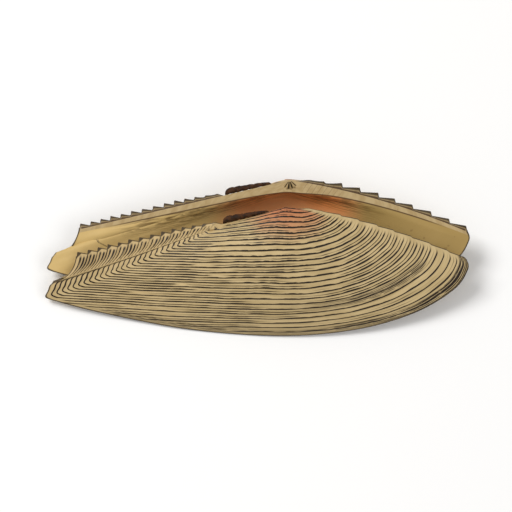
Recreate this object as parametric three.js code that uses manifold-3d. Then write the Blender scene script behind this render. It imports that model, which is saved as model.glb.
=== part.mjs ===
// A rostrate bivalve shell: both valves of one animal, with the halves of the torn ligament, lying down.
// The left valve lies on its back with its inside up. The right valve lies over it, outside up, slid towards
// the belly edge, so that the left valve's hinge shows beyond its own hinge edge.
// Millimetres, +Z up, +X towards the front end, -X towards the beaked rear end, +Y towards the hinge.
import * as THREE from "three";
import Module from "manifold-3d";

// Outline of a valve, seen square on, from the beak at 0,0. The valve is 80 long and 24 high.
const HINGE_CORNER = [-40.4, -6.2];
const REAR_EDGE_PULL = [-41.3, -8.9];
const NOTCH = [-43.2, -9.9];
const LOBE = [
  [-44.5, -10.4],
  [-45.8, -10.9],
  [-46.4, -12],
  [-47, -13.1],
  [-46, -13.75],
];
const BELLY_CURVE = [
  [-36, -17.1],
  [-20, -21.4],
  [-3, -23.9],
  [11, -23.8],
  [22.2, -21.5],
  [29.9, -17.7],
  [32.8, -14.2],
];
const FRONT_CORNER = [32.6, -12.4];
const FRONT_BULGE = 1.2; // how far the front hinge edge bows out

// Growth: each earlier margin is a smaller copy of the last one, turned outwards about the hinge.
const SPIRAL_RATE = 0.8;
const SPIRAL_LIMIT = 1.9;
const DEPTH_BLEND = 4;
const FIRST_GROWTH = 0.05;

// Wall
const EDGE = 0.45;
const WALL = 1.1;
const WALL_GROWTH = 0.15; // share of growth over which the wall reaches its full thickness
const PLATE_WIDTH = [1.5, 0.6]; // hinge plate, at the beak and at the ends
const PLATE_DROP = 1.2;

// Lamellae, the overlapping growth ledges
const LAMELLAE = 20;
const CREST = 0.8; // where in a ledge its crest is
const LEDGE = 0.16;
const REAR_LEDGE_GAIN = 1.9;

// Keel from the beak to the notch, and the furrow below it
const KEEL_RISE = 0.55;
const KEEL_WIDTH = 1.5;
const FURROW_DROP = 0.3;
const FURROW_WIDTH = 2.2;

// Hinge edge: a sloping band outside the hinge line, with the lamella ends standing out as teeth
const BAND_WIDTH = 0.8;
const BAND_RISE = 0.5;
const BAND_FADE = 1.6;
const TOOTH_RISE = 0.75;
const TOOTH_FADE = 0.9;
const REAR_TEETH_FROM = 0.32;
const FRONT_TEETH_FROM = 0.12;
const FRONT_TEETH_GAIN = { left: 1, right: 0.3 }; // the right valve's front teeth are worn low

// Ligament halves, on the hinge edge behind the beak, as shares of the rear hinge edge
const LIGAMENT_FROM = 0.085;
const LIGAMENT_TO = 0.305;
const LIGAMENT_WIDTH = 1.3;
const LIGAMENT_HEIGHT = 1.2;
const LIGAMENT_MIDDLE = 0.3; // height of its middle above the hinge plate
const LIGAMENT_GAP = 0.25;
const LIGAMENT_STEPS = 12;
const LIGAMENT_SIDES = 10;

// Cardinal teeth on the hinge plate, fanned out from the beak
const CARDINAL = { length: 1.5, width: 0.4, height: 0.9, from: 0.35 };
const LEFT_CARDINALS = [-112, -88, -60];
const RIGHT_CARDINALS = [-126, -100, -74];

// Facet columns, as shares of each stretch of the margin
const REAR_EDGE_COLUMNS = [0, 0.2, 0.55];
const LOBE_COLUMNS = [0, 0.37, 0.47, 0.8];
const BELLY_COLUMNS = 20;
const BELLY_CROWDING = 1.4;

// How the valves lie: the pair leans on the left valve's belly and on the right valve's belly edge
const PAIR_TILT = 13.5;
const PAIR_ROLL = -3;
const RIGHT_PLACE = [-0.7, -5.5, 2.31]; // its beak, from the left valve's
const RIGHT_TILT = 8.5;
const RIGHT_ROLL = -0.46;
const REST_WEAR = 0.2; // depth of the flat worn on the left valve where it rests

const { smoothstep, lerp, degToRad } = THREE.MathUtils;
const point = ([x, y]) => new THREE.Vector2(x, y);

// Margin, from the hinge corner round the rear end and the belly to the front corner
const rearEdge = new THREE.QuadraticBezierCurve(
  point(HINGE_CORNER),
  point(REAR_EDGE_PULL),
  point(NOTCH),
);
const lobe = new THREE.SplineCurve([NOTCH, ...LOBE].map(point));
const belly = new THREE.SplineCurve([LOBE.at(-1), ...BELLY_CURVE, FRONT_CORNER].map(point));
const margin = new THREE.CurvePath();
[rearEdge, lobe, belly].forEach((curve) => margin.add(curve));
const marginLength = margin.getLength();
const lobeStart = rearEdge.getLength();
const bellyStart = lobeStart + lobe.getLength();

const rearLine = point(HINGE_CORNER).normalize();
const frontLine = point(FRONT_CORNER).normalize();
const rearOutward = new THREE.Vector2(rearLine.y, -rearLine.x);
const frontOutward = new THREE.Vector2(-frontLine.y, frontLine.x);

// Distance of a margin point from the hinge line, blended between its rear and front halves
function marginDepth(rim) {
  const rear = Math.max(-rim.dot(rearOutward), 1e-6);
  const front = Math.max(-rim.dot(frontOutward), 1e-6);
  return (rear ** -DEPTH_BLEND + front ** -DEPTH_BLEND) ** (-1 / DEPTH_BLEND);
}

// A ledge rises slowly towards its crest and falls off steeply
function ledgeProfile(count) {
  const share = count - Math.floor(count + 1e-9);
  return share < CREST ? share / CREST : (1 - share) / (1 - CREST);
}

// Height of the hinge-edge teeth: one for each lamella behind the beak, one for every two before it
function toothHeight(growth, isRear, frontGain) {
  const from = isRear ? REAR_TEETH_FROM : FRONT_TEETH_FROM;
  const count = isRear ? LAMELLAE * growth : (LAMELLAE * growth) / 2;
  const gain = isRear ? 1 : frontGain;
  return TOOTH_RISE * gain * smoothstep(growth, from - 0.02, from + 0.2) * ledgeProfile(count);
}

// Width of the band outside the hinge line, which gives way to the ligament behind the beak
function bandWidth(growth, isRear) {
  const swell = smoothstep(growth, 0.02, 0.12) * lerp(1, 0.4, growth);
  const beforeLigament = 1 - smoothstep(growth, LIGAMENT_FROM - 0.04, LIGAMENT_FROM);
  const behindLigament = smoothstep(growth, LIGAMENT_TO, LIGAMENT_TO + 0.04);
  return isRear ? swell * (beforeLigament + behindLigament) : swell;
}

const bump = (distance, width) => Math.exp(-((distance / width) ** 2));

// A place on the shell: growth runs from the beak to the margin, arc along the margin
function place(growth, arc) {
  const rim = margin.getPoint(THREE.MathUtils.clamp(arc / marginLength, 0, 1));
  const isRear = arc < marginLength / 2;
  const depth = marginDepth(rim);
  const fromFront = marginLength - arc;
  const bow = FRONT_BULGE * 4 * growth * (1 - growth) * bump(fromFront, marginLength / 6);
  return {
    isRear,
    reach: growth * depth,
    outward: isRear ? rearOutward : frontOutward,
    plan: rim.multiplyScalar(growth).add(new THREE.Vector2(0, bow)),
  };
}

// Outside of the shell without its lamellae
function plainOutside(growth, arc) {
  const { reach, plan } = place(growth, arc);
  const turn = Math.min(SPIRAL_RATE * Math.log(1 / growth), SPIRAL_LIMIT);
  const keel = KEEL_RISE * bump(arc - lobeStart, KEEL_WIDTH);
  const furrow = FURROW_DROP * bump(arc - bellyStart, FURROW_WIDTH);
  const rise = reach * Math.sin(turn) + growth * (keel - furrow);
  return new THREE.Vector3(plan.x, plan.y + reach * (1 - Math.cos(turn)), EDGE + rise);
}

function outwardNormal(growth, arc) {
  const step = 0.01;
  const [low, high] = [Math.max(arc - step, 0), Math.min(arc + step, marginLength)];
  const along = plainOutside(growth, high).sub(plainOutside(growth, low));
  const out = plainOutside(growth * (1 + step), arc).sub(plainOutside(growth * (1 - step), arc));
  return out.cross(along).normalize();
}

function outside(growth, arc, frontGain) {
  const { reach, outward, isRear } = place(growth, arc);
  const gain = lerp(REAR_LEDGE_GAIN, 1, smoothstep(arc, lobeStart, bellyStart));
  const ledge = LEDGE * gain * ledgeProfile(LAMELLAE * growth) * smoothstep(growth, 0, 0.3);
  const band = bandWidth(growth, isRear) * Math.exp(-reach / BAND_FADE);
  const tooth = toothHeight(growth, isRear, frontGain) * Math.exp(-reach / TOOTH_FADE);
  const shift = outward.clone().multiplyScalar(BAND_WIDTH * band + tooth);
  return plainOutside(growth, arc)
    .addScaledVector(outwardNormal(growth, arc), ledge)
    .add(new THREE.Vector3(shift.x, shift.y, BAND_RISE * band));
}

// Inside of the shell: a flat hinge plate along the hinge line, then the hollow under the wall
function inside(growth, arc) {
  const { reach, plan } = place(growth, arc);
  const plate = new THREE.Vector3(plan.x, plan.y, 0);
  const wall = lerp(EDGE, WALL, smoothstep(1 - growth, 0, WALL_GROWTH));
  const hollow = plainOutside(growth, arc).addScaledVector(outwardNormal(growth, arc), -wall);
  const plateEdge = lerp(...PLATE_WIDTH, growth);
  return plate.lerp(hollow, smoothstep(reach, plateEdge, plateEdge + PLATE_DROP));
}

// Facet rows and columns
function growthRows() {
  const rows = [FIRST_GROWTH];
  for (let k = 1; k < LAMELLAE; k++) {
    rows.push((k + CREST) / LAMELLAE, (k + 1) / LAMELLAE);
  }
  return rows;
}

function marginColumns() {
  const arcs = REAR_EDGE_COLUMNS.map((share) => share * lobeStart);
  arcs.push(...LOBE_COLUMNS.map((share) => lerp(lobeStart, bellyStart, share)));
  for (let k = 0; k <= BELLY_COLUMNS; k++) {
    const share = 1 - (1 - k / BELLY_COLUMNS) ** BELLY_CROWDING;
    arcs.push(lerp(bellyStart, marginLength, share));
  }
  return arcs;
}

function closedGeometry(vertices, triangles) {
  const positions = new Float32Array(vertices.flatMap((v) => [v.x, v.y, v.z]));
  const geometry = new THREE.BufferGeometry();
  geometry.setAttribute("position", new THREE.BufferAttribute(positions, 3));
  geometry.setIndex(triangles);
  geometry.computeVertexNormals();
  return geometry;
}

// Wears a flat into the points that reach farthest in a direction
function wearFlat(points, direction) {
  const level = Math.max(...points.map((p) => p.dot(direction))) - REST_WEAR;
  for (const p of points) {
    p.addScaledVector(direction, -Math.max(p.dot(direction) - level, 0));
  }
}

// One valve as a closed solid, outside towards +Z: two fans from the beak, joined round the edge
function valveSolid(restDirection, frontGain) {
  const rows = growthRows();
  const arcs = marginColumns();
  const vertices = [];
  const triangles = [];
  const fan = (surface, beak) => {
    const first = vertices.push(beak);
    rows.forEach((growth) => arcs.forEach((arc) => vertices.push(surface(growth, arc))));
    return (row, column) => (row < 0 ? first - 1 : first + row * arcs.length + column);
  };
  const outer = fan((growth, arc) => outside(growth, arc, frontGain), new THREE.Vector3(0, 0, EDGE));
  if (restDirection) {
    wearFlat(vertices, restDirection);
  }
  const inner = fan(inside, new THREE.Vector3(0, 0, 0));
  const quad = (a, b, c, d) => triangles.push(a, b, c, a, c, d);
  for (let column = 0; column + 1 < arcs.length; column++) {
    triangles.push(outer(-1), outer(0, column), outer(0, column + 1));
    triangles.push(inner(-1), inner(0, column + 1), inner(0, column));
    for (let row = 0; row + 1 < rows.length; row++) {
      const next = row + 1;
      quad(outer(row, column), outer(next, column), outer(next, column + 1), outer(row, column + 1));
      quad(inner(row, column), inner(row, column + 1), inner(next, column + 1), inner(next, column));
    }
    const last = rows.length - 1;
    quad(outer(last, column), inner(last, column), inner(last, column + 1), outer(last, column + 1));
  }
  const end = arcs.length - 1;
  for (let row = -1; row + 1 < rows.length; row++) {
    quad(outer(row, 0), inner(row, 0), inner(row + 1, 0), outer(row + 1, 0));
    quad(outer(row, end), outer(row + 1, end), inner(row + 1, end), inner(row, end));
  }
  return closedGeometry(vertices, triangles);
}

// Booleans
const wasm = await Module();
wasm.setup();

function toManifold(geometry) {
  return new wasm.Manifold(
    new wasm.Mesh({
      numProp: 3,
      vertProperties: geometry.attributes.position.array,
      triVerts: new Uint32Array(geometry.index.array),
    }),
  );
}

function fromManifold(solid) {
  const mesh = solid.getMesh();
  const geometry = new THREE.BufferGeometry();
  geometry.setAttribute("position", new THREE.BufferAttribute(mesh.vertProperties, 3));
  geometry.setIndex(new THREE.BufferAttribute(mesh.triVerts, 1));
  geometry.computeVertexNormals();
  return geometry;
}

// A cardinal tooth: a wedge on the hinge plate that points away from the beak
function cardinalTooth(degrees) {
  const { length, width, height, from } = CARDINAL;
  const corners = [];
  for (const z of [height / 2, -height / 2]) {
    const half = z > 0 ? width / 2 : width / 4;
    const to = from + length;
    for (const [along, across] of [[from, -half], [to, -half], [to, half], [from, half]]) {
      corners.push(new THREE.Vector3(along, across, z));
    }
  }
  const faces = [0, 1, 2, 0, 2, 3, 4, 6, 5, 4, 7, 6];
  for (let side = 0; side < 4; side++) {
    const next = (side + 1) % 4;
    faces.push(side, side + 4, next + 4, side, next + 4, next);
  }
  return closedGeometry(corners, faces).rotateZ(degToRad(degrees));
}

function valveWithTeeth(cardinals, restDirection, frontGain) {
  const fused = cardinals.reduce(
    (solid, degrees) => solid.add(toManifold(cardinalTooth(degrees))),
    toManifold(valveSolid(restDirection, frontGain)),
  );
  return fromManifold(fused);
}

// Half of the ligament: a slug along the hinge edge behind the beak, blunt at its rear end
function ligamentSolid() {
  const rearLength = point(HINGE_CORNER).length();
  const vertices = [];
  const triangles = [];
  for (let step = 0; step <= LIGAMENT_STEPS; step++) {
    const share = step / LIGAMENT_STEPS;
    const girth = Math.sqrt(Math.max(1 - (2 * share - 1) ** 8, 0.02)) * lerp(0.45, 1, share);
    const along = lerp(LIGAMENT_FROM, LIGAMENT_TO, share) * rearLength;
    const standoff = LIGAMENT_GAP + (girth * LIGAMENT_WIDTH) / 2;
    for (let side = 0; side < LIGAMENT_SIDES; side++) {
      const angle = (2 * Math.PI * side) / LIGAMENT_SIDES;
      const across = standoff + (girth * LIGAMENT_WIDTH * Math.cos(angle)) / 2;
      const spot = rearLine.clone().multiplyScalar(along).addScaledVector(rearOutward, across);
      const up = LIGAMENT_MIDDLE + (girth * LIGAMENT_HEIGHT * Math.sin(angle)) / 2;
      vertices.push(new THREE.Vector3(spot.x, spot.y, up));
    }
  }
  const at = (step, side) => step * LIGAMENT_SIDES + (side % LIGAMENT_SIDES);
  for (let side = 0; side < LIGAMENT_SIDES; side++) {
    for (let step = 0; step < LIGAMENT_STEPS; step++) {
      const [a, b] = [at(step, side), at(step, side + 1)];
      const [c, d] = [at(step + 1, side + 1), at(step + 1, side)];
      triangles.push(a, c, b, a, d, c);
    }
    if (side > 0 && side + 1 < LIGAMENT_SIDES) {
      triangles.push(at(0, 0), at(0, side), at(0, side + 1));
      triangles.push(at(LIGAMENT_STEPS, 0), at(LIGAMENT_STEPS, side + 1), at(LIGAMENT_STEPS, side));
    }
  }
  return closedGeometry(vertices, triangles);
}

const shellMaterial = new THREE.MeshStandardMaterial({ color: "#b99c6a", roughness: 0.55, metalness: 0 });
const ligamentMaterial = new THREE.MeshStandardMaterial({ color: "#3d2413", roughness: 0.6, metalness: 0 });

function namedMesh(name, geometry, material) {
  const mesh = new THREE.Mesh(geometry, material);
  mesh.name = name;
  return mesh;
}

// Each valve's group holds it with its half of the ligament, outside towards +Z
function valveGroup(side, cardinals, restDirection) {
  const group = new THREE.Group();
  const valve = valveWithTeeth(cardinals, restDirection, FRONT_TEETH_GAIN[side]);
  group.add(namedMesh(`${side}_valve`, valve, shellMaterial.clone()));
  group.add(namedMesh(`${side}_ligament`, ligamentSolid(), ligamentMaterial.clone()));
  return group;
}

const pair = new THREE.Group();
pair.rotation.set(degToRad(PAIR_TILT), degToRad(PAIR_ROLL), 0);

// The left valve is the right one's mirror image, so the way down is mirrored for it too
const down = new THREE.Vector3(0, 0, -1).applyQuaternion(pair.quaternion.clone().invert());
down.z *= -1;
const leftValve = valveGroup("left", LEFT_CARDINALS, down);
leftValve.scale.z = -1;

const rightValve = valveGroup("right", RIGHT_CARDINALS);
rightValve.position.set(...RIGHT_PLACE);
rightValve.rotation.set(degToRad(RIGHT_TILT), degToRad(RIGHT_ROLL), 0);
pair.add(leftValve, rightValve);

// The origin is under the middle of the pair, on the surface that it lies on
const shell = new THREE.Group();
shell.add(pair);
shell.updateMatrixWorld(true);
const bounds = new THREE.Box3().setFromObject(shell, true);
const middle = bounds.getCenter(new THREE.Vector3());
pair.position.set(-middle.x, -middle.y, -bounds.min.z);

export default shell;
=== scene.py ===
"""A rostrate bivalve shell: the left valve on its back, the right valve lying over it."""

import math

import bpy
import numpy as np
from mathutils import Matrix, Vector


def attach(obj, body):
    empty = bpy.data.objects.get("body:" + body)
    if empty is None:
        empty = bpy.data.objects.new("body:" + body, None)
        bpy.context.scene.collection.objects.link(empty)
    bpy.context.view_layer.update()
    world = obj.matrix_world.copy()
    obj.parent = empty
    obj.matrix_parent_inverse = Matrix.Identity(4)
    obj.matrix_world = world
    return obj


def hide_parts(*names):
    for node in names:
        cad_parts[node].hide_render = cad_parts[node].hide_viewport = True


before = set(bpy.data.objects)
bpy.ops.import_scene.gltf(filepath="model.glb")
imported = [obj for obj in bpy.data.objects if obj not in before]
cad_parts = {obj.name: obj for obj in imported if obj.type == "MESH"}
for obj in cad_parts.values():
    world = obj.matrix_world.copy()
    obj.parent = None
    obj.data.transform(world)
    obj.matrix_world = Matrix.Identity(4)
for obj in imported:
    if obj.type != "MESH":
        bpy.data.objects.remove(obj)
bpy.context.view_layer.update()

MM = 0.001

# Outline of a valve in millimetres, seen square on, from the beak at 0,0
HINGE_CORNER = (-40.4, -6.2)
REAR_EDGE_PULL = (-41.3, -8.9)
NOTCH = (-43.2, -9.9)
LOBE = ((-44.5, -10.4), (-45.8, -10.9), (-46.4, -12), (-47, -13.1), (-46, -13.75))
BELLY = ((-36, -17.1), (-20, -21.4), (-3, -23.9), (11, -23.8), (22.2, -21.5), (29.9, -17.7), (32.8, -14.2))
FRONT_CORNER = (32.6, -12.4)
FRONT_BULGE = 1.2

# Growth: each earlier margin is a smaller copy of the last one, turned outwards about the hinge
SPIRAL_RATE = 0.8
SPIRAL_LIMIT = 1.9
DEPTH_BLEND = 4

# Wall and hinge plate
EDGE = 0.45
WALL = 1.1
WALL_GROWTH = 0.15
PLATE_AT_BEAK = 1.5
PLATE_AT_ENDS = 0.6
PLATE_DROP = 1.2
PLATE_ARCH = 0.45
PLATE_ARCH_WIDTH = 6

# Growth lines, as counts from the beak to the margin
RIBLETS = 60
DISC_LINES = 22
STROKES = 120
REAR_TEETH = 20
FRONT_TEETH = 10
LEVEL_TURN = 4.4
LEVELLING = 0.7
LINE_WIDTH = 0.3
RIBLET_RISE = 0.22
LEDGE = 0.15
LEDGE_CREST = 0.8
RIBLET_SHARE = 0.58
STROKE_SHARE = 0.7
HOOK_SHARE = 0.32
FINE_SHARE = 0.55
LINE_SWELL = (0.36, 0.58)
LINE_EDGE = (0.7, 1.15)

# Where lines begin and end, as shares of growth
LINES_FROM = (0.3, 0.42)
LINES_TO = (0.975, 0.985)
# Painted shade: dark strokes along the belly margin, where the shell curves down and away from the light
MARGIN_SHADE_STROKES = (0.94, 0.955)
SCALE_SCATTER = 16

# A halt in growth: its shares of growth, and its stretch along the shell in millimetres
HALT_FROM = (0.75, 0.765)
HALT_TO = (0.8, 0.815)
HALT_REAR = (-6, 18)
HALT_FRONT = (30.5, 32)

# Keel from the beak to the notch, and the furrow below it
KEEL_RISE = 0.55
KEEL_WIDTH = 1.5
FURROW_DROP = 0.3
FURROW_WIDTH = 2.2

# Hinge edge
BAND_WIDTH = 0.8
BAND_RISE = 0.5
BAND_FADE = 1.6
TOOTH_RISE = 0.75
TOOTH_FADE = 0.9
TOOTH_CREST = 0.88
REAR_TEETH_FROM = 0.32
FRONT_TEETH_FROM = 0.12
FRONT_TEETH_GAIN = {"left": 1, "right": 0.3}

# Ligament halves, as shares of the rear hinge edge
LIGAMENT_FROM = 0.085
LIGAMENT_TO = 0.305
LIGAMENT_WIDTH = 1.3
LIGAMENT_HEIGHT = 1.2
LIGAMENT_MIDDLE = 0.3
LIGAMENT_GAP = 0.05
LIGAMENT_STEPS = 72
LIGAMENT_SIDES = 28

# Cardinal teeth: directions from the beak, in degrees, with a groove on each side of each
LEFT_CARDINALS = (-112, -88, -60)
RIGHT_CARDINALS = (-126, -100, -74)
RIDGE_FROM = (0.2, 0.5)
RIDGE_TO = (1.5, 1.9)
CARDINAL_WIDTH = 0.2
CARDINAL_RISE = 0.5
GROOVE_TURN = 15
GROOVE_WIDTH = 0.1
GROOVE_DROP = 0.15

# Ends of the scar inside the rear end
SCAR = ((-37.4, -8.5), (-35.5, -9.8))
SCAR_WIDTH = 0.13

# How the valves lie, in degrees and millimetres
PAIR_TILT = 13.5
PAIR_ROLL = -3
PAIR_PLACE = (7.3239, 13.7801, 8.183)
RIGHT_TILT = 8.5
RIGHT_ROLL = -0.46
RIGHT_PLACE = (-0.7, -5.5, 2.31)
REST_WEAR = 0.2

# Mesh rows from beak to margin, and columns along the margin
ROWS = 256
FIRST_GROWTH = 0.012
REAR_COLUMNS = 46
MIDDLE_COLUMNS = 100
FRONT_COLUMNS = 22
FRONT_STRETCH = 5
SHARP_ANGLE = 50

random = np.random.default_rng(7)


def smoothstep(x, low, high):
    share = np.clip((x - low) / (high - low), 0, 1)
    return share * share * (3 - 2 * share)


def lerp(a, b, share):
    return a + (b - a) * share


def bump(distance, width):
    return np.exp(-((distance / width) ** 2))


# Margin, from the hinge corner round the rear end and the belly to the front corner
def quadratic(start, pull, end, count=60):
    share = np.linspace(0, 1, count)[:, None]
    start, pull, end = (np.array(p, float) for p in (start, pull, end))
    return (1 - share) ** 2 * start + 2 * share * (1 - share) * pull + share**2 * end


def spline(points, count=60):
    points = np.array(points, float)
    padded = np.vstack([points[:1], points, points[-1:]])
    share = np.linspace(0, 1, count)[:, None]
    pieces = []
    for before, here, there, after in zip(padded, padded[1:], padded[2:], padded[3:]):
        leave = (there - before) / 2
        arrive = (after - here) / 2
        pieces.append(
            (2 * here - 2 * there + leave + arrive) * share**3
            + (3 * there - 3 * here - 2 * leave - arrive) * share**2
            + leave * share
            + here
        )
    return np.vstack(pieces)


def arc_lengths(points):
    steps = np.linalg.norm(np.diff(points, axis=0), axis=1)
    return np.concatenate([[0], np.cumsum(steps)])


rear_edge = quadratic(HINGE_CORNER, REAR_EDGE_PULL, NOTCH)
lobe = spline([NOTCH, *LOBE])
belly = spline([LOBE[-1], *BELLY, FRONT_CORNER])
margin = np.vstack([rear_edge, lobe, belly])
margin_arc = arc_lengths(margin)
margin_length = margin_arc[-1]
lobe_start = arc_lengths(rear_edge)[-1]
belly_start = lobe_start + arc_lengths(lobe)[-1]

rear_line = np.array(HINGE_CORNER) / np.linalg.norm(HINGE_CORNER)
front_line = np.array(FRONT_CORNER) / np.linalg.norm(FRONT_CORNER)
rear_outward = np.array([rear_line[1], -rear_line[0]])
front_outward = np.array([-front_line[1], front_line[0]])


def margin_point(arc):
    arc = np.clip(arc, 0, margin_length)
    return np.stack([np.interp(arc, margin_arc, margin[:, axis]) for axis in (0, 1)], axis=-1)


def margin_depth(rim):
    rear = np.maximum(-rim @ rear_outward, 1e-6)
    front = np.maximum(-rim @ front_outward, 1e-6)
    return (rear**-DEPTH_BLEND + front**-DEPTH_BLEND) ** (-1 / DEPTH_BLEND)


# Growth with slow waves, which keep the lines and teeth from being too even
def ring_growth(growth, arc):
    along = arc / margin_length
    waves = (
        0.16 * np.sin(2 * math.pi * (1.7 * along + 2.3 * growth))
        + 0.1 * np.sin(2 * math.pi * (4.1 * along - 3.1 * growth) + 1.1)
        + 0.05 * np.sin(2 * math.pi * (11 * along + 5 * growth) + 2.3)
    )
    return growth + 0.014 * waves * smoothstep(growth, 0.02, 0.2)


# How deep a place lies below the beak, square to the way the rear lines run
def level_depth(rim):
    turn = math.radians(LEVEL_TURN)
    return -(rim[..., 1] * math.cos(turn) + rim[..., 0] * math.sin(turn))


corner_depth = level_depth(np.array(LOBE[-1]))
full_depth = level_depth(margin).max() / corner_depth


# The disc's lines run nearly level behind and along the margin in front
def disc_count(growth, arc):
    rim = margin_point(arc)
    depth = lerp(level_depth(rim) / corner_depth, full_depth, smoothstep(rim[..., 0], -14, 0))
    ring_share = np.where(arc < belly_start, smoothstep(growth, *LINES_FROM), 0)
    return DISC_LINES * ring_growth(growth, arc) * lerp(depth**LEVELLING, 1, ring_share)


# Width of a disc line as a share of the space between two lines
def line_share(growth, arc):
    low = margin_point(arc - 0.2)
    high = margin_point(arc + 0.2)
    tangent = (high - low) / np.linalg.norm(high - low, axis=-1, keepdims=True)
    rim = margin_point(arc)
    swing = np.abs(rim[..., 0] * tangent[..., 1] - rim[..., 1] * tangent[..., 0])
    return np.clip(LINE_WIDTH * disc_count(growth, arc) / (growth * swing), 0.08, 0.45)


def saw(count, crest):
    share = count - np.floor(count)
    return np.where(share < crest, share / crest, (1 - share) / (1 - crest))


# A number from 0 to 1 of each line's own, which sets where the line ends
line_chance = random.uniform(0, 1, STROKES)


def chance(count):
    return line_chance[np.floor(count + 0.4).astype(int) % STROKES]


def line_weights(growth, arc):
    rim_x = margin_point(arc)[..., 0]
    _, reach = plan_place(growth, arc)
    disc = disc_count(growth, arc)
    grown = smoothstep(growth, *LINES_FROM)
    ending = 1 - smoothstep(growth, *LINES_TO)
    behind_keel = 1 - smoothstep(arc, lobe_start - 0.4, lobe_start - 0.1)
    before_keel = smoothstep(arc, lobe_start + 1.2, lobe_start + 2.2)
    scale_end = arc - SCALE_SCATTER * chance(disc + 0.5)
    disc_side = np.maximum(before_keel, 1 - grown) * smoothstep(reach, 0.3, 1.2)
    # Strokes along the belly margin are painted shade, heavier towards the front; those at the halt in growth
    # are a real growth mark
    margin_shade = smoothstep(growth, *MARGIN_SHADE_STROKES) * smoothstep(arc, belly_start + 4, belly_start + 14)
    at_halt = smoothstep(growth, *HALT_FROM) * (1 - smoothstep(growth, *HALT_TO))
    at_halt = at_halt * smoothstep(rim_x, *HALT_REAR) * (1 - smoothstep(rim_x, *HALT_FRONT))
    riblet_ends = smoothstep(reach, 0.3, 0.6) * ending
    return {
        "riblet": grown * behind_keel * riblet_ends,
        "scale": grown * before_keel * (1 - smoothstep(scale_end, belly_start + 4, belly_start + 6)),
        "disc": disc_side * ending,
        "shade_and_halt_stroke": np.maximum(margin_shade * lerp(0.6, 1, smoothstep(rim_x, 0, 25)), 0.8 * at_halt),
    }


def relief(growth, arc):
    weight = line_weights(growth, arc)
    disc = disc_count(growth, arc)
    ribs = np.abs(np.sin(math.pi * RIBLETS * ring_growth(growth, arc))) ** 0.7
    riblets = RIBLET_RISE * weight["riblet"] * ribs
    on_keel = 0.8 * bump(arc - lobe_start, 0.6)
    ledges = lerp(saw(disc, LEDGE_CREST), saw(2 * disc, LEDGE_CREST), weight["scale"])
    return (riblets + LEDGE * (1 + on_keel) * weight["disc"] * ledges) * smoothstep(growth, 0, 0.3)


tooth_size = random.uniform(0.85, 1.12, REAR_TEETH + 1)


def tooth_height(growth, arc, is_rear, front_gain):
    start = np.where(is_rear, REAR_TEETH_FROM, FRONT_TEETH_FROM)
    count = ring_growth(growth, arc) * np.where(is_rear, REAR_TEETH, FRONT_TEETH)
    size = tooth_size[np.clip(count.astype(int), 0, REAR_TEETH)]
    grown = smoothstep(growth, start - 0.02, start + 0.2)
    gain = np.where(is_rear, 1, front_gain)
    return TOOTH_RISE * gain * size * grown * saw(count, TOOTH_CREST)


def band_width(growth, is_rear):
    swell = smoothstep(growth, 0.02, 0.12) * lerp(1, 0.4, growth)
    before_ligament = 1 - smoothstep(growth, LIGAMENT_FROM - 0.04, LIGAMENT_FROM)
    behind_ligament = smoothstep(growth, LIGAMENT_TO, LIGAMENT_TO + 0.04)
    return swell * np.where(is_rear, before_ligament + behind_ligament, 1)


def plan_place(growth, arc):
    rim = margin_point(arc)
    reach = growth * margin_depth(rim)
    bow = FRONT_BULGE * 4 * growth * (1 - growth) * bump(margin_length - arc, margin_length / 6)
    plan = rim * growth[..., None]
    plan[..., 1] += bow
    return plan, reach


def plain_outside(growth, arc):
    plan, reach = plan_place(growth, arc)
    turn = np.minimum(SPIRAL_RATE * np.log(1 / growth), SPIRAL_LIMIT)
    keel = KEEL_RISE * bump(arc - lobe_start, KEEL_WIDTH)
    furrow = FURROW_DROP * bump(arc - belly_start, FURROW_WIDTH)
    rise = EDGE + reach * np.sin(turn) + growth * (keel - furrow)
    return np.stack([plan[..., 0], plan[..., 1] + reach * (1 - np.cos(turn)), rise], axis=-1)


def outward_normal(growth, arc):
    step = 0.01
    low = np.maximum(arc - step, 0)
    high = np.minimum(arc + step, margin_length)
    along = plain_outside(growth, high) - plain_outside(growth, low)
    out = plain_outside(growth * (1 + step), arc) - plain_outside(growth * (1 - step), arc)
    normal = np.cross(out, along)
    return normal / np.linalg.norm(normal, axis=-1, keepdims=True)


def outside(growth, arc, front_gain):
    _, reach = plan_place(growth, arc)
    is_rear = arc < margin_length / 2
    band = band_width(growth, is_rear) * np.exp(-reach / BAND_FADE)
    tooth = tooth_height(growth, arc, is_rear, front_gain) * np.exp(-reach / TOOTH_FADE)
    outward = np.where(is_rear[..., None], rear_outward, front_outward)
    shift = outward * (BAND_WIDTH * band + tooth)[..., None]
    points = plain_outside(growth, arc) + outward_normal(growth, arc) * relief(growth, arc)[..., None]
    points[..., :2] += shift
    points[..., 2] += BAND_RISE * band
    return points


# Ridges that fan out from the beak on the hinge plate
def fan_of_ridges(plan, directions, width):
    away = np.hypot(plan[..., 0], plan[..., 1])
    height = np.zeros_like(away)
    for degrees in directions:
        ray = np.array([math.cos(math.radians(degrees)), math.sin(math.radians(degrees))])
        aside = plan[..., 0] * ray[1] - plan[..., 1] * ray[0]
        ridge = bump(aside, width) * smoothstep(plan @ ray, *RIDGE_FROM) * (1 - smoothstep(away, *RIDGE_TO))
        height = np.maximum(height, ridge)
    return height


def grooves(plan, cardinals):
    sides = [degrees + turn for degrees in cardinals for turn in (-GROOVE_TURN, GROOVE_TURN)]
    return fan_of_ridges(plan, sides, GROOVE_WIDTH)


# A short straight scar on the inside of the rear end
def scar_line(plan):
    start, end = (np.array(p) for p in SCAR)
    share = np.clip((plan - start) @ (end - start) / np.sum((end - start) ** 2), 0, 1)
    away = np.linalg.norm(plan - start - share[..., None] * (end - start), axis=-1)
    return bump(away, SCAR_WIDTH)


# The plate is wider below the beak, so that the hollow ends in a round arch
def plate_edge(growth, along):
    return lerp(PLATE_AT_BEAK, PLATE_AT_ENDS, growth) + PLATE_ARCH * bump(along, PLATE_ARCH_WIDTH)


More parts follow.
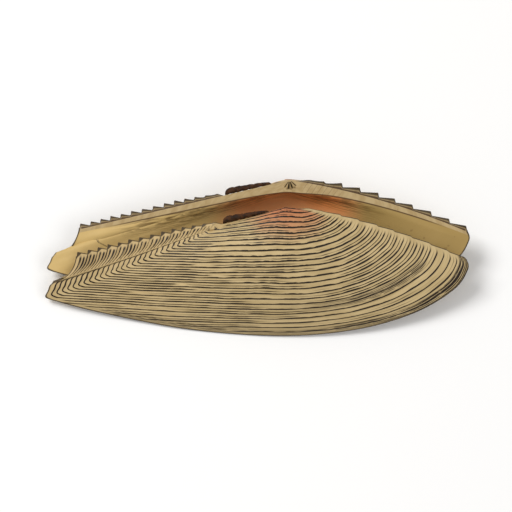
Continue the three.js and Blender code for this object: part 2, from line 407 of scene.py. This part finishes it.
def inside(growth, arc, cardinals):
    plan, reach = plan_place(growth, arc)
    wall = lerp(EDGE, WALL, smoothstep(1 - growth, 0, WALL_GROWTH))
    hollow = plain_outside(growth, arc) - outward_normal(growth, arc) * wall[..., None]
    teeth = CARDINAL_RISE * fan_of_ridges(plan, cardinals, CARDINAL_WIDTH)
    up = GROOVE_DROP * grooves(plan, cardinals) - teeth
    plate = np.concatenate([plan, up[..., None]], axis=-1)
    edge = plate_edge(growth, plan[..., 0])
    drop = smoothstep(reach, edge, edge + PLATE_DROP)
    return lerp(plate, hollow, drop[..., None])


def column_arcs():
    front_start = margin_length - FRONT_STRETCH
    rear = np.linspace(0, belly_start, REAR_COLUMNS)
    middle = np.linspace(belly_start, front_start, MIDDLE_COLUMNS)
    front = np.linspace(front_start, margin_length, FRONT_COLUMNS)
    return np.concatenate([rear, middle[1:], front[1:]])


# Placing: from a valve's own frame, outside towards +Z, to the shared frame
def turn_about_x(degrees):
    c, s = math.cos(math.radians(degrees)), math.sin(math.radians(degrees))
    return np.array([[1, 0, 0], [0, c, -s], [0, s, c]])


def turn_about_y(degrees):
    c, s = math.cos(math.radians(degrees)), math.sin(math.radians(degrees))
    return np.array([[c, 0, s], [0, 1, 0], [-s, 0, c]])


pair_turn = turn_about_x(PAIR_TILT) @ turn_about_y(PAIR_ROLL)
right_turn = turn_about_x(RIGHT_TILT) @ turn_about_y(RIGHT_ROLL)
MIRROR = np.array([1, 1, -1])


def placed(points, side):
    if side == "left":
        points = points * MIRROR
    else:
        points = points @ right_turn.T + RIGHT_PLACE
    return (points @ pair_turn.T + PAIR_PLACE) * MM


def wear_flat(points):
    down = (pair_turn.T @ np.array([0, 0, -1])) * MIRROR
    depth = points @ down
    over = np.maximum(depth - (depth.max() - REST_WEAR), 0)
    return points - over[..., None] * down


def make_mesh(name, points, faces, attributes):
    mesh = bpy.data.meshes.new(name)
    mesh.from_pydata(points.tolist(), [], faces)
    for key, values in attributes.items():
        layer = mesh.attributes.new(key, "FLOAT", "POINT")
        layer.data.foreach_set("value", np.ascontiguousarray(values, np.float32))
    mesh.polygons.foreach_set("use_smooth", [True] * len(mesh.polygons))
    mesh.set_sharp_from_angle(angle=math.radians(SHARP_ANGLE))
    mesh.update()
    piece = bpy.data.objects.new(name, mesh)
    bpy.context.scene.collection.objects.link(piece)
    return piece


def grid_faces(first, rows, columns, flip):
    faces = []
    for row in range(rows - 1):
        here = first + row * columns
        for column in range(columns - 1):
            a = here + column
            quad = (a, a + columns, a + columns + 1, a + 1)
            faces.append(quad[::-1] if flip else quad)
    return faces


# Outside, inside, the beak, the margin and the two hinge edges; the inside's points follow the outside's
def valve_faces(columns):
    count = ROWS * columns
    outer_beak = 2 * count
    inner_beak = outer_beak + 1
    faces = grid_faces(0, ROWS, columns, False) + grid_faces(count, ROWS, columns, True)
    for column in range(columns - 1):
        faces.append((outer_beak, column, column + 1))
        faces.append((inner_beak, count + column + 1, count + column))
        last = (ROWS - 1) * columns + column
        faces.append((last, last + count, last + count + 1, last + 1))
    for first in (0, columns - 1):
        edge = [outer_beak] + [first + row * columns for row in range(ROWS)]
        for here, there in zip(edge, edge[1:]):
            inner_here = inner_beak if here == outer_beak else here + count
            quad = (here, inner_here, there + count, there)
            faces.append(quad if first == 0 else quad[::-1])
    return faces


# What the shell's colours are drawn from, for each point
def valve_attributes(growth, arc, cardinals):
    plan, reach = plan_place(growth, arc)
    both = {
        "growth": growth,
        "ring": ring_growth(growth, arc),
        "disc": disc_count(growth, arc),
        "arc": arc,
        "reach": reach,
        "along": plan[..., 0],
        "from_beak": np.hypot(plan[..., 0], plan[..., 1]),
        "below_plate": reach - plate_edge(growth, plan[..., 0]),
        "groove": grooves(plan, cardinals),
        "scar": scar_line(plan),
        "line_share": line_share(growth, arc),
    }
    for key, values in line_weights(growth, arc).items():
        both[f"{key}_weight"] = values
    at_beak = {"below_plate": -PLATE_AT_BEAK}
    attributes = {
        key: np.concatenate([values.ravel(), values.ravel(), [at_beak.get(key, 0)] * 2])
        for key, values in both.items()
    }
    attributes["inside"] = np.concatenate([np.zeros(growth.size), np.ones(growth.size), [0, 1]])
    return attributes


def make_valve(side, cardinals):
    arcs = column_arcs()
    rows = np.linspace(FIRST_GROWTH, 1, ROWS)
    growth, arc = np.meshgrid(rows, arcs, indexing="ij")
    outer = outside(growth, arc, FRONT_TEETH_GAIN[side]).reshape(-1, 3)
    faces = valve_faces(len(arcs))
    if side == "left":
        outer = wear_flat(outer)
        faces = [face[::-1] for face in faces]
    inner = inside(growth, arc, cardinals).reshape(-1, 3)
    points = np.vstack([outer, inner, [[0, 0, EDGE], [0, 0, 0]]])
    attributes = valve_attributes(growth, arc, cardinals)
    piece = make_mesh(f"{side}_valve_fine", placed(points, side), faces, attributes)
    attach(piece, "root")
    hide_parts(f"{side}_valve")
    return piece


def make_ligament(side):
    steps = LIGAMENT_STEPS
    sides = LIGAMENT_SIDES
    share, turn = np.meshgrid(np.linspace(0, 1, steps), np.arange(sides) / sides, indexing="ij")
    girth = np.sqrt(np.maximum(1 - (2 * share - 1) ** 8, 0.02)) * lerp(0.45, 1, share)
    angle = 2 * math.pi * turn
    lumps = (
        1
        + 0.07 * np.sin(3 * angle + 31 * share)
        + 0.06 * np.sin(47 * share + 2 * np.sin(angle))
        + 0.04 * random.standard_normal(share.shape)
    )
    lumps[0] = lumps[0].mean()
    lumps[-1] = lumps[-1].mean()
    rear_length = np.linalg.norm(HINGE_CORNER)
    along = lerp(LIGAMENT_FROM, LIGAMENT_TO, share) * rear_length
    half_width = girth * LIGAMENT_WIDTH / 2
    across = LIGAMENT_GAP + half_width + half_width * lumps * np.cos(angle)
    up = LIGAMENT_MIDDLE + girth * lumps * LIGAMENT_HEIGHT / 2 * np.sin(angle)
    plan = along[..., None] * rear_line + across[..., None] * rear_outward
    points = np.concatenate([plan, up[..., None]], axis=-1).reshape(-1, 3)
    faces = []
    for step in range(steps - 1):
        for side_index in range(sides):
            a = step * sides + side_index
            b = step * sides + (side_index + 1) % sides
            faces.append((a, a + sides, b + sides, b))
    faces.append(tuple(range(sides)))
    faces.append(tuple(range(steps * sides - 1, (steps - 1) * sides - 1, -1)))
    if side == "left":
        faces = [face[::-1] for face in faces]
    piece = make_mesh(f"{side}_ligament_fine", placed(points, side), faces, {"share": share.ravel()})
    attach(piece, "root")
    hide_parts(f"{side}_ligament")
    return piece


# Colours
def srgb(code):
    channels = [int(code[i : i + 2], 16) / 255 for i in (1, 3, 5)]
    linear = [c / 12.92 if c <= 0.04045 else ((c + 0.055) / 1.055) ** 2.4 for c in channels]
    return (*linear, 1)


INK = srgb("#1f1205")
OUTLINE_BROWN = srgb("#3a230c")
TAN_DARK = srgb("#b59d6e")
TAN_LIGHT = srgb("#c6ae7f")
TAN_REAR = srgb("#c6a976")
BLUSH = srgb("#b96a42")
INNER_REAR_DARK = srgb("#c2a466")
INNER_REAR_LIGHT = srgb("#cdae70")
INNER_FRONT = srgb("#a1854c")
HOLLOW_WARM = srgb("#df9a62")
HOLLOW_BROWN_AND_SHADE = srgb("#dd8a4b")
SLOPE_SHADE_STREAKS = srgb("#6d532b")
PLATE_DARK = srgb("#a78d60")
PLATE_LIGHT = srgb("#b69e72")
PLATE_HATCH = srgb("#5f4220")
UNDER_PLATE_SHADOW = srgb("#402810")
SPECK_BROWN = srgb("#7d6136")
LIGAMENT_DARK = srgb("#261305")
LIGAMENT_LIGHT = srgb("#4a2c14")
LIGAMENT_FIBRE = srgb("#180c03")
FLOOR_DARK = srgb("#f4f3f1")
FLOOR_LIGHT = srgb("#faf9f8")


class Nodes:
    """A material's node tree; inputs are sockets, numbers or colours."""

    def __init__(self, name):
        self.material = bpy.data.materials.new(name)
        self.material.use_nodes = True
        self.tree = self.material.node_tree
        self.shader = self.tree.nodes["Principled BSDF"]

    def add(self, kind, inputs, **settings):
        node = self.tree.nodes.new(kind)
        for key, value in settings.items():
            setattr(node, key, value)
        for key, value in inputs.items():
            self.put(node.inputs[key], value)
        return node

    def put(self, socket, value):
        if isinstance(value, bpy.types.NodeSocket):
            self.tree.links.new(value, socket)
        else:
            socket.default_value = value

    def attribute(self, name):
        return self.add("ShaderNodeAttribute", {}, attribute_name=name).outputs["Fac"]

    def math(self, operation, a, b=0.0, c=0.0):
        return self.add("ShaderNodeMath", {0: a, 1: b, 2: c}, operation=operation).outputs[0]

    def step(self, value, low, high, start=0.0, end=1.0):
        inputs = {"Value": value, "From Min": low, "From Max": high, "To Min": start, "To Max": end}
        return self.add("ShaderNodeMapRange", inputs, interpolation_type="SMOOTHSTEP").outputs[0]

    def window(self, value, low, top_low, top_high, high):
        rise = self.step(value, low, top_low)
        fall = self.step(value, top_high, high, 1.0, 0.0)
        return self.math("MULTIPLY", rise, fall)

    def vector(self, x, y, z=0.0):
        return self.add("ShaderNodeCombineXYZ", {"X": x, "Y": y, "Z": z}).outputs[0]

    def noise(self, vector, scale, detail=3.0, roughness=0.55):
        inputs = {"Vector": vector, "Scale": scale, "Detail": detail, "Roughness": roughness}
        return self.add("ShaderNodeTexNoise", inputs).outputs["Fac"]

    def mix(self, share, a, b):
        node = self.tree.nodes.new("ShaderNodeMix")
        node.data_type = "RGBA"
        self.put(node.inputs[0], share)
        self.put(node.inputs[6], a)
        self.put(node.inputs[7], b)
        return node.outputs[2]

    def lines(self, count, share, weight):
        own = self.math("MULTIPLY", self.math("FLOOR", self.math("ADD", count, 0.5)), 5.3)
        swell = self.noise(self.vector(self.math("MULTIPLY", self.attribute("arc"), 0.25), own), 1.0, 2.0)
        half = self.math("MULTIPLY", share, self.step(swell, 0.3, 0.65, *LINE_SWELL))
        beyond = self.math("ADD", self.math("FRACT", count), self.math("SUBTRACT", half, 1.0))
        aside = self.math("DIVIDE", self.math("ABSOLUTE", beyond), half)
        mask = self.step(aside, *LINE_EDGE, 1.0, 0.0)
        return self.math("MULTIPLY", mask, self.attribute(weight))

    def bump(self, height, strength, distance):
        inputs = {"Height": height, "Strength": strength, "Distance": distance}
        return self.add("ShaderNodeBump", inputs).outputs["Normal"]


def shell_material():
    n = Nodes("shell")
    growth = n.attribute("growth")
    ring = n.attribute("ring")
    arc = n.attribute("arc")
    reach = n.attribute("reach")
    along = n.attribute("along")
    from_beak = n.attribute("from_beak")
    below_plate = n.attribute("below_plate")
    inside_share = n.attribute("inside")
    inside_mask = n.step(inside_share, 0.3, 0.7)
    position = n.add("ShaderNodeTexCoord", {}).outputs["Object"]
    along_lines = n.vector(n.math("MULTIPLY", arc, 0.12), n.math("MULTIPLY", ring, 30.0))
    streaks = n.noise(along_lines, 1.0)
    breaks = n.noise(along_lines, 3.0, 2.0)
    mottle = n.noise(position, 120.0, 4.0)
    grain = n.noise(position, 2600.0, 2.0)

    # Outside: tan, blushing orange at the beak
    tan = n.mix(n.step(streaks, 0.3, 0.7), TAN_DARK, TAN_LIGHT)
    rear = n.step(arc, lobe_start, belly_start, 1.0, 0.0)
    tan = n.mix(n.math("MULTIPLY", rear, 0.6), tan, TAN_REAR)
    blush_reach = n.math("MULTIPLY_ADD", n.math("SUBTRACT", mottle, 0.5), 6.0, from_beak)
    blush = n.step(blush_reach, 2.5, 9.5, 0.85, 0.0)
    tan = n.mix(n.math("MULTIPLY", blush, n.step(reach, 0.6, 1.6)), tan, BLUSH)

    # Dark lines: riblets behind the keel, hooks below it, then the disc's lines, with finer ones in patches
    disc = n.attribute("disc")
    between = n.math("ADD", disc, 0.5)
    share = n.attribute("line_share")
    riblets = n.lines(n.math("MULTIPLY", ring, float(RIBLETS)), RIBLET_SHARE, "riblet_weight")
    discs = n.lines(disc, share, "disc_weight")
    scales = n.lines(between, share, "scale_weight")
    patches = n.noise(n.vector(n.math("MULTIPLY", arc, 0.04), n.math("MULTIPLY", ring, 9.0), 3.0), 1.0, 2.0)
    fine = n.lines(between, n.math("MULTIPLY", share, FINE_SHARE), "disc_weight")
    fine = n.math("MULTIPLY", fine, n.step(patches, 0.42, 0.56))
    hooks = n.lines(n.math("MULTIPLY", disc, 2.0), HOOK_SHARE, "scale_weight")
    below_keel = n.window(arc, lobe_start + 1.2, lobe_start + 1.8, lobe_start + 2.6, lobe_start + 3.4)
    hooks = n.math("MULTIPLY", hooks, below_keel)
    # Strokes: painted shade along the belly margin, and a real growth mark at the halt in growth
    shade_and_halt_strokes = n.lines(n.math("MULTIPLY", ring, float(STROKES)), STROKE_SHARE, "shade_and_halt_stroke_weight")
    shade_and_halt_strokes = n.math("MULTIPLY", shade_and_halt_strokes, n.step(breaks, 0.31, 0.43))
    line = n.math("MAXIMUM", n.math("MAXIMUM", discs, scales), n.math("MAXIMUM", fine, hooks))
    line = n.math("MAXIMUM", line, n.math("MAXIMUM", shade_and_halt_strokes, riblets))

    # Painted shade in the corners between the rear teeth, and a dark line round the edge
    tooth_share = n.math("FRACT", n.math("MULTIPLY", ring, float(REAR_TEETH)))
    tooth_gap_shade = n.step(n.math("MULTIPLY_ADD", reach, -0.7, tooth_share), 0.38, 0.5)
    tooth_gap_shade = n.math("MULTIPLY", tooth_gap_shade, n.step(reach, 0.6, 0.9, 1.0, 0.0))
    tooth_gap_shade = n.math("MULTIPLY", tooth_gap_shade, n.step(arc, lobe_start, lobe_start + 1.0, 1.0, 0.0))
    tooth_gap_shade = n.math("MULTIPLY", tooth_gap_shade, n.step(growth, 0.3, 0.4))
    edge = n.math("MAXIMUM", n.step(reach, 0.06, 0.16, 1.0, 0.0), n.step(growth, 0.99, 0.996))
    line = n.math("MAXIMUM", line, n.math("MULTIPLY", n.math("MAXIMUM", tooth_gap_shade, edge), 0.9))
    outside_colour = n.mix(line, tan, INK)

    # Inside: tan, brown to orange in the hollow under the beak, with painted shade streaks and a painted
    # shadow line below the paler hinge plate
    rear_tan = n.mix(n.step(mottle, 0.3, 0.7), INNER_REAR_DARK, INNER_REAR_LIGHT)
    inner = n.mix(n.step(along, -12.0, 14.0), rear_tan, INNER_FRONT)
    depth = n.math("MULTIPLY_ADD", n.math("SUBTRACT", mottle, 0.5), 2.0, below_plate)
    warm = n.math("MULTIPLY", n.window(along, -17.0, -9.0, 7.0, 15.0), n.step(depth, 8.0, 12.0, 1.0, 0.0))
    inner = n.mix(warm, inner, HOLLOW_WARM)
    # The browner band next to the plate is partly the hollow's own colour and partly painted shade under the
    # hinge plate
    deep_brown_and_shade = n.math("MULTIPLY", n.window(along, -13.0, -6.0, 7.0, 14.0), n.step(depth, 1.6, 4.0, 1.0, 0.0))
    inner = n.mix(deep_brown_and_shade, inner, HOLLOW_BROWN_AND_SHADE)
    # Painted shade: dark streaks on the slope that drops from the hinge plate into the hollow
    slope_shade = n.window(along, -36.0, -26.0, 12.0, 19.0)
    slope_shade = n.math("MULTIPLY", slope_shade, n.step(below_plate, 1.6, 3.2, 1.0, 0.0))
    grooved = n.noise(n.vector(n.math("MULTIPLY", from_beak, 0.3), n.math("MULTIPLY", below_plate, 5.0)), 1.0)
    inner = n.mix(n.math("MULTIPLY", slope_shade, n.step(grooved, 0.42, 0.6, 0.0, 0.75)), inner, SLOPE_SHADE_STREAKS)
    plate_colour = n.mix(n.step(streaks, 0.35, 0.65), PLATE_DARK, PLATE_LIGHT)
    slant = n.math("FRACT", n.math("MULTIPLY_ADD", below_plate, 0.8, along))
    hatch = n.math("MULTIPLY", n.step(slant, 0.86, 0.9), n.window(along, 2.2, 2.8, 7.0, 11.0))
    plate_colour = n.mix(n.math("MULTIPLY", hatch, 0.45), plate_colour, PLATE_HATCH)
    inner = n.mix(n.step(below_plate, -0.08, 0.06, 1.0, 0.0), inner, plate_colour)
    # Painted shadow: a dark line along the plate's lower edge, where the hollow drops away under it
    under_plate_shadow = n.window(below_plate, -0.1, -0.02, 0.08, 0.24)
    under_plate_shadow = n.math("MULTIPLY", under_plate_shadow, n.window(along, -38.0, -30.0, 24.0, 30.0))
    inner = n.mix(n.math("MULTIPLY", under_plate_shadow, 0.85), inner, UNDER_PLATE_SHADOW)
    marks = n.math("MAXIMUM", n.attribute("groove"), n.attribute("scar"))
    marks = n.math("MAXIMUM", n.step(marks, 0.35, 0.7), n.step(growth, 0.992, 0.997))
    inner = n.mix(n.math("MULTIPLY", marks, 0.9), inner, INK)
    specks = n.math("MULTIPLY", n.step(n.noise(position, 900.0, 1.0), 0.7, 0.74), n.step(along, 14.0, 20.0))
    inner = n.mix(n.math("MULTIPLY", specks, 0.5), inner, SPECK_BROWN)

    colour = n.mix(inside_mask, outside_colour, inner)
    hinge_line = n.window(inside_share, 0.55, 0.68, 0.97, 1.0)
    hinge_line = n.math("MULTIPLY", hinge_line, n.step(growth, 0.985, 0.995, 1.0, 0.0))
    outline = n.window(inside_share, 0.0, 0.01, 0.08, 0.16)
    colour = n.mix(n.math("MULTIPLY", n.math("MAXIMUM", hinge_line, outline), 0.9), colour, OUTLINE_BROWN)
    n.put(n.shader.inputs["Base Color"], colour)
    n.put(n.shader.inputs["Roughness"], n.step(mottle, 0.3, 0.7, 0.5, 0.65))
    n.shader.inputs["Specular IOR Level"].default_value = 0.3
    height = n.math("MULTIPLY_ADD", grain, 0.3, streaks)
    n.put(n.shader.inputs["Normal"], n.bump(height, 0.25, 0.0002))
    return n.material


def ligament_material():
    n = Nodes("ligament")
    position = n.add("ShaderNodeTexCoord", {}).outputs["Object"]
    fibres = n.noise(n.vector(n.math("MULTIPLY", n.attribute("share"), 9.0), 0.0), 4.0)
    mottle = n.noise(position, 1500.0, 4.0)
    colour = n.mix(n.step(mottle, 0.35, 0.65), LIGAMENT_DARK, LIGAMENT_LIGHT)
    n.put(n.shader.inputs["Base Color"], n.mix(n.step(fibres, 0.5, 0.7, 0.0, 0.5), colour, LIGAMENT_FIBRE))
    n.put(n.shader.inputs["Roughness"], n.step(mottle, 0.3, 0.7, 0.65, 0.85))
    n.shader.inputs["Specular IOR Level"].default_value = 0.25
    n.put(n.shader.inputs["Normal"], n.bump(mottle, 0.5, 0.0002))
    return n.material


def floor_material():
    n = Nodes("floor")
    position = n.add("ShaderNodeTexCoord", {}).outputs["Object"]
    cloud = n.noise(position, 3.0)
    n.put(n.shader.inputs["Base Color"], n.mix(cloud, FLOOR_DARK, FLOOR_LIGHT))
    n.shader.inputs["Roughness"].default_value = 0.9
    return n.material


shell = shell_material()
dark_ligament = ligament_material()
for side, cardinals in (("left", LEFT_CARDINALS), ("right", RIGHT_CARDINALS)):
    make_valve(side, cardinals).data.materials.append(shell)
    make_ligament(side).data.materials.append(dark_ligament)

# Floor, light and camera
FLOOR_HALF = 2.0
KEY_LIGHT = {"place": (-0.35, 0.25, 0.6), "size": 0.35, "power": 3.6}
FILL_LIGHT = {"place": (0.5, -0.4, 0.6), "size": 0.6, "power": 1.9}
WORLD_STRENGTH = 0.45
AZIMUTH = 4.5
ELEVATION = 73
DISTANCE = 0.535
TARGET = (-0.0001, 0.0, 0.006)
LENS = 200
SENSOR_WIDTH = 36
CLIP_START = 0.01


def make_floor():
    corners = np.array([(-1, -1, 0), (1, -1, 0), (1, 1, 0), (-1, 1, 0)]) * FLOOR_HALF
    floor = make_mesh("floor", corners, [(0, 1, 2, 3)], {})
    floor.data.materials.append(floor_material())


def aim(thing, target):
    thing.rotation_euler = (Vector(target) - thing.location).to_track_quat("-Z", "Y").to_euler()


def area_light(name, place, size, power):
    light = bpy.data.lights.new(name, "AREA")
    light.size = size
    light.energy = power
    lamp = bpy.data.objects.new(name, light)
    lamp.location = place
    bpy.context.scene.collection.objects.link(lamp)
    aim(lamp, (0, 0, 0))


make_floor()
area_light("key", **KEY_LIGHT)
area_light("fill", **FILL_LIGHT)
world = bpy.data.worlds.new("studio")
world.use_nodes = True
world.node_tree.nodes["Background"].inputs["Color"].default_value = (1, 1, 1, 1)
world.node_tree.nodes["Background"].inputs["Strength"].default_value = WORLD_STRENGTH
bpy.context.scene.world = world
bpy.context.scene.view_settings.view_transform = "Standard"

camera_data = bpy.data.cameras.new("camera")
camera_data.lens = LENS
camera_data.sensor_width = SENSOR_WIDTH
camera_data.clip_start = CLIP_START
camera = bpy.data.objects.new("camera", camera_data)
flat = DISTANCE * math.cos(math.radians(ELEVATION))
camera.location = (
    TARGET[0] - flat * math.sin(math.radians(AZIMUTH)),
    TARGET[1] - flat * math.cos(math.radians(AZIMUTH)),
    TARGET[2] + DISTANCE * math.sin(math.radians(ELEVATION)),
)
aim(camera, TARGET)
bpy.context.scene.collection.objects.link(camera)
bpy.context.scene.camera = camera
